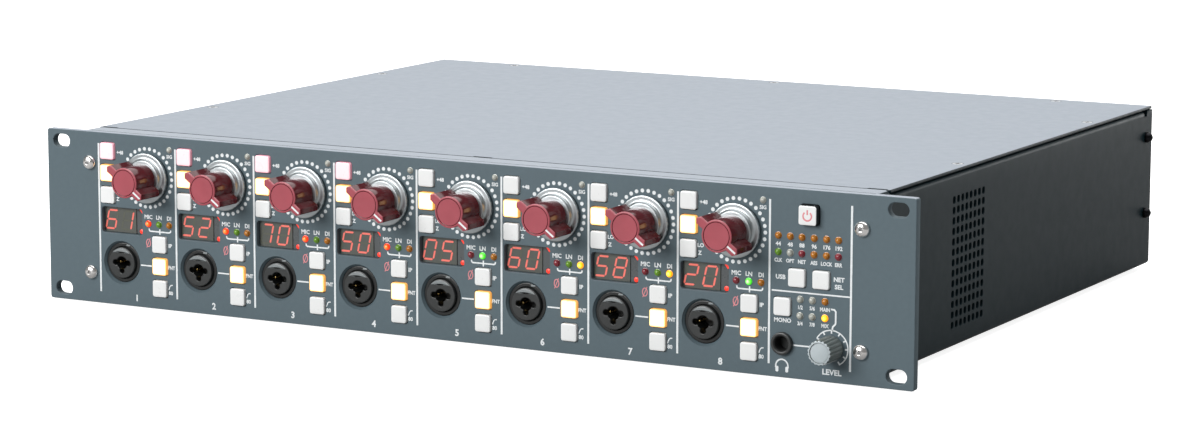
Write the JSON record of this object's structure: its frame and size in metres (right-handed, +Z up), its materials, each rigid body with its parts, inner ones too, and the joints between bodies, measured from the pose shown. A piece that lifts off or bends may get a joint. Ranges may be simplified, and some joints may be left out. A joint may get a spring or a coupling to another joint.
{
  "type": "microphone preamp",
  "caption": "Two-unit rack preamplifier: strips of a gain knob, display, push buttons and combined input socket, with a master section, in a folded steel case.",
  "frame": {"origin": "centre of the underside of the whole object's box; the front panel's lower edge is at z = 0", "axes": "+X to the right of someone facing the front panel, +Y from the front panel to the rear, +Z up"},
  "size_m": [0.4826, 0.3906, 0.0881],
  "materials": {
    "blue_grey_paint": "satin blue-grey enamel, light wear on the edges",
    "light_grey_paint": "satin light grey enamel",
    "dark_grey_paint": "satin charcoal enamel",
    "white_plastic": "translucent white caps, some lit from behind",
    "red_plastic": "satin moulded red plastic over a spun metal dial",
    "grey_plastic": "moulded grey plastic",
    "black_plastic": "moulded black plastic",
    "board_green": "solder mask over glass laminate",
    "bare_metal": "plain sheet and extrusions",
    "bright_metal": "bright plated screws"
  },
  "bodies": {
    "case": {"front_panel": "blue_grey_paint", "chassis_tray": "dark_grey_paint", "top_cover": "light_grey_paint", "rear_panel": "dark_grey_paint", "control_board": "board_green", "input_socket_board": "black_plastic", "phones_socket": "black_plastic", "main_board": "board_green", "power_supply": "bare_metal", "rear_io_board": "black_plastic", "mains_inlet": "black_plastic", "panel_screw_1": "bright_metal", "panel_screw_2": "bright_metal", "panel_screw_3": "bright_metal", "panel_screw_4": "bright_metal"},
    "gain_knob_1": {"gain_knob_1": "red_plastic"},
    "gain_knob_2": {"gain_knob_2": "red_plastic"},
    "gain_knob_3": {"gain_knob_3": "red_plastic"},
    "gain_knob_4": {"gain_knob_4": "red_plastic"},
    "gain_knob_5": {"gain_knob_5": "red_plastic"},
    "gain_knob_6": {"gain_knob_6": "red_plastic"},
    "gain_knob_7": {"gain_knob_7": "red_plastic"},
    "gain_knob_8": {"gain_knob_8": "red_plastic"},
    "phones_knob": {"phones_knob": "grey_plastic"},
    "left_buttons_1": {"left_buttons_1": "white_plastic"},
    "top_button_1": {"top_button_1": "white_plastic"},
    "middle_button_1": {"middle_button_1": "white_plastic"},
    "low_button_1": {"low_button_1": "white_plastic"},
    "left_buttons_2": {"left_buttons_2": "white_plastic"},
    "top_button_2": {"top_button_2": "white_plastic"},
    "middle_button_2": {"middle_button_2": "white_plastic"},
    "low_button_2": {"low_button_2": "white_plastic"},
    "left_buttons_3": {"left_buttons_3": "white_plastic"},
    "top_button_3": {"top_button_3": "white_plastic"},
    "middle_button_3": {"middle_button_3": "white_plastic"},
    "low_button_3": {"low_button_3": "white_plastic"},
    "left_buttons_4": {"left_buttons_4": "white_plastic"},
    "top_button_4": {"top_button_4": "white_plastic"},
    "middle_button_4": {"middle_button_4": "white_plastic"},
    "low_button_4": {"low_button_4": "white_plastic"},
    "left_buttons_5": {"left_buttons_5": "white_plastic"},
    "top_button_5": {"top_button_5": "white_plastic"},
    "middle_button_5": {"middle_button_5": "white_plastic"},
    "low_button_5": {"low_button_5": "white_plastic"},
    "left_buttons_6": {"left_buttons_6": "white_plastic"},
    "top_button_6": {"top_button_6": "white_plastic"},
    "middle_button_6": {"middle_button_6": "white_plastic"},
    "low_button_6": {"low_button_6": "white_plastic"},
    "left_buttons_7": {"left_buttons_7": "white_plastic"},
    "top_button_7": {"top_button_7": "white_plastic"},
    "middle_button_7": {"middle_button_7": "white_plastic"},
    "low_button_7": {"low_button_7": "white_plastic"},
    "left_buttons_8": {"left_buttons_8": "white_plastic"},
    "top_button_8": {"top_button_8": "white_plastic"},
    "middle_button_8": {"middle_button_8": "white_plastic"},
    "low_button_8": {"low_button_8": "white_plastic"},
    "master_button_1": {"master_button_1": "white_plastic"},
    "master_button_2": {"master_button_2": "white_plastic"},
    "master_button_3": {"master_button_3": "white_plastic"},
    "power_button": {"power_button": "white_plastic"}
  },
  "joints": [
    {"name": "gain_turn_1", "type": "hinge", "parent": "case", "child": "gain_knob_1", "pos_m": [-0.17915, -0.17475, 0.06665], "axis": [0, 1, 0], "continuous": true},
    {"name": "gain_turn_2", "type": "hinge", "parent": "case", "child": "gain_knob_2", "pos_m": [-0.1319, -0.17475, 0.06665], "axis": [0, 1, 0], "continuous": true},
    {"name": "gain_turn_3", "type": "hinge", "parent": "case", "child": "gain_knob_3", "pos_m": [-0.08465, -0.17475, 0.06665], "axis": [0, 1, 0], "continuous": true},
    {"name": "gain_turn_4", "type": "hinge", "parent": "case", "child": "gain_knob_4", "pos_m": [-0.0374, -0.17475, 0.06665], "axis": [0, 1, 0], "continuous": true},
    {"name": "gain_turn_5", "type": "hinge", "parent": "case", "child": "gain_knob_5", "pos_m": [0.00985, -0.17475, 0.06665], "axis": [0, 1, 0], "continuous": true},
    {"name": "gain_turn_6", "type": "hinge", "parent": "case", "child": "gain_knob_6", "pos_m": [0.0571, -0.17475, 0.06665], "axis": [0, 1, 0], "continuous": true},
    {"name": "gain_turn_7", "type": "hinge", "parent": "case", "child": "gain_knob_7", "pos_m": [0.10435, -0.17475, 0.06665], "axis": [0, 1, 0], "continuous": true},
    {"name": "gain_turn_8", "type": "hinge", "parent": "case", "child": "gain_knob_8", "pos_m": [0.1516, -0.17475, 0.06665], "axis": [0, 1, 0], "continuous": true},
    {"name": "phones_level_turn", "type": "hinge", "parent": "case", "child": "phones_knob", "pos_m": [0.2003, -0.17475, 0.016], "axis": [0, 1, 0], "range_deg": [-300, 0]},
    {"name": "left_press_1", "type": "slide", "parent": "case", "child": "left_buttons_1", "axis": [0, 1, 0], "range_m": [0, 0.0012], "stiffness_N_per_m": 900, "springref_m": -0.001},
    {"name": "top_press_1", "type": "slide", "parent": "case", "child": "top_button_1", "axis": [0, 1, 0], "range_m": [0, 0.0012], "stiffness_N_per_m": 700, "springref_m": -0.001},
    {"name": "middle_press_1", "type": "slide", "parent": "case", "child": "middle_button_1", "axis": [0, 1, 0], "range_m": [0, 0.0012], "stiffness_N_per_m": 700, "springref_m": -0.001},
    {"name": "low_press_1", "type": "slide", "parent": "case", "child": "low_button_1", "axis": [0, 1, 0], "range_m": [0, 0.0012], "stiffness_N_per_m": 700, "springref_m": -0.001},
    {"name": "left_press_2", "type": "slide", "parent": "case", "child": "left_buttons_2", "axis": [0, 1, 0], "range_m": [0, 0.0012], "stiffness_N_per_m": 900, "springref_m": -0.001},
    {"name": "top_press_2", "type": "slide", "parent": "case", "child": "top_button_2", "axis": [0, 1, 0], "range_m": [0, 0.0012], "stiffness_N_per_m": 700, "springref_m": -0.001},
    {"name": "middle_press_2", "type": "slide", "parent": "case", "child": "middle_button_2", "axis": [0, 1, 0], "range_m": [0, 0.0012], "stiffness_N_per_m": 700, "springref_m": -0.001},
    {"name": "low_press_2", "type": "slide", "parent": "case", "child": "low_button_2", "axis": [0, 1, 0], "range_m": [0, 0.0012], "stiffness_N_per_m": 700, "springref_m": -0.001},
    {"name": "left_press_3", "type": "slide", "parent": "case", "child": "left_buttons_3", "axis": [0, 1, 0], "range_m": [0, 0.0012], "stiffness_N_per_m": 900, "springref_m": -0.001},
    {"name": "top_press_3", "type": "slide", "parent": "case", "child": "top_button_3", "axis": [0, 1, 0], "range_m": [0, 0.0012], "stiffness_N_per_m": 700, "springref_m": -0.001},
    {"name": "middle_press_3", "type": "slide", "parent": "case", "child": "middle_button_3", "axis": [0, 1, 0], "range_m": [0, 0.0012], "stiffness_N_per_m": 700, "springref_m": -0.001},
    {"name": "low_press_3", "type": "slide", "parent": "case", "child": "low_button_3", "axis": [0, 1, 0], "range_m": [0, 0.0012], "stiffness_N_per_m": 700, "springref_m": -0.001},
    {"name": "left_press_4", "type": "slide", "parent": "case", "child": "left_buttons_4", "axis": [0, 1, 0], "range_m": [0, 0.0012], "stiffness_N_per_m": 900, "springref_m": -0.001},
    {"name": "top_press_4", "type": "slide", "parent": "case", "child": "top_button_4", "axis": [0, 1, 0], "range_m": [0, 0.0012], "stiffness_N_per_m": 700, "springref_m": -0.001},
    {"name": "middle_press_4", "type": "slide", "parent": "case", "child": "middle_button_4", "axis": [0, 1, 0], "range_m": [0, 0.0012], "stiffness_N_per_m": 700, "springref_m": -0.001},
    {"name": "low_press_4", "type": "slide", "parent": "case", "child": "low_button_4", "axis": [0, 1, 0], "range_m": [0, 0.0012], "stiffness_N_per_m": 700, "springref_m": -0.001},
    {"name": "left_press_5", "type": "slide", "parent": "case", "child": "left_buttons_5", "axis": [0, 1, 0], "range_m": [0, 0.0012], "stiffness_N_per_m": 900, "springref_m": -0.001},
    {"name": "top_press_5", "type": "slide", "parent": "case", "child": "top_button_5", "axis": [0, 1, 0], "range_m": [0, 0.0012], "stiffness_N_per_m": 700, "springref_m": -0.001},
    {"name": "middle_press_5", "type": "slide", "parent": "case", "child": "middle_button_5", "axis": [0, 1, 0], "range_m": [0, 0.0012], "stiffness_N_per_m": 700, "springref_m": -0.001},
    {"name": "low_press_5", "type": "slide", "parent": "case", "child": "low_button_5", "axis": [0, 1, 0], "range_m": [0, 0.0012], "stiffness_N_per_m": 700, "springref_m": -0.001},
    {"name": "left_press_6", "type": "slide", "parent": "case", "child": "left_buttons_6", "axis": [0, 1, 0], "range_m": [0, 0.0012], "stiffness_N_per_m": 900, "springref_m": -0.001},
    {"name": "top_press_6", "type": "slide", "parent": "case", "child": "top_button_6", "axis": [0, 1, 0], "range_m": [0, 0.0012], "stiffness_N_per_m": 700, "springref_m": -0.001},
    {"name": "middle_press_6", "type": "slide", "parent": "case", "child": "middle_button_6", "axis": [0, 1, 0], "range_m": [0, 0.0012], "stiffness_N_per_m": 700, "springref_m": -0.001},
    {"name": "low_press_6", "type": "slide", "parent": "case", "child": "low_button_6", "axis": [0, 1, 0], "range_m": [0, 0.0012], "stiffness_N_per_m": 700, "springref_m": -0.001},
    {"name": "left_press_7", "type": "slide", "parent": "case", "child": "left_buttons_7", "axis": [0, 1, 0], "range_m": [0, 0.0012], "stiffness_N_per_m": 900, "springref_m": -0.001},
    {"name": "top_press_7", "type": "slide", "parent": "case", "child": "top_button_7", "axis": [0, 1, 0], "range_m": [0, 0.0012], "stiffness_N_per_m": 700, "springref_m": -0.001},
    {"name": "middle_press_7", "type": "slide", "parent": "case", "child": "middle_button_7", "axis": [0, 1, 0], "range_m": [0, 0.0012], "stiffness_N_per_m": 700, "springref_m": -0.001},
    {"name": "low_press_7", "type": "slide", "parent": "case", "child": "low_button_7", "axis": [0, 1, 0], "range_m": [0, 0.0012], "stiffness_N_per_m": 700, "springref_m": -0.001},
    {"name": "left_press_8", "type": "slide", "parent": "case", "child": "left_buttons_8", "axis": [0, 1, 0], "range_m": [0, 0.0012], "stiffness_N_per_m": 900, "springref_m": -0.001},
    {"name": "top_press_8", "type": "slide", "parent": "case", "child": "top_button_8", "axis": [0, 1, 0], "range_m": [0, 0.0012], "stiffness_N_per_m": 700, "springref_m": -0.001},
    {"name": "middle_press_8", "type": "slide", "parent": "case", "child": "middle_button_8", "axis": [0, 1, 0], "range_m": [0, 0.0012], "stiffness_N_per_m": 700, "springref_m": -0.001},
    {"name": "low_press_8", "type": "slide", "parent": "case", "child": "low_button_8", "axis": [0, 1, 0], "range_m": [0, 0.0012], "stiffness_N_per_m": 700, "springref_m": -0.001},
    {"name": "master_press_1", "type": "slide", "parent": "case", "child": "master_button_1", "axis": [0, 1, 0], "range_m": [0, 0.0012], "stiffness_N_per_m": 700, "springref_m": -0.001},
    {"name": "master_press_2", "type": "slide", "parent": "case", "child": "master_button_2", "axis": [0, 1, 0], "range_m": [0, 0.0012], "stiffness_N_per_m": 700, "springref_m": -0.001},
    {"name": "master_press_3", "type": "slide", "parent": "case", "child": "master_button_3", "axis": [0, 1, 0], "range_m": [0, 0.0012], "stiffness_N_per_m": 700, "springref_m": -0.001},
    {"name": "power_press", "type": "slide", "parent": "case", "child": "power_button", "axis": [0, 1, 0], "range_m": [0, 0.0018], "stiffness_N_per_m": 700, "springref_m": -0.001}
  ]
}
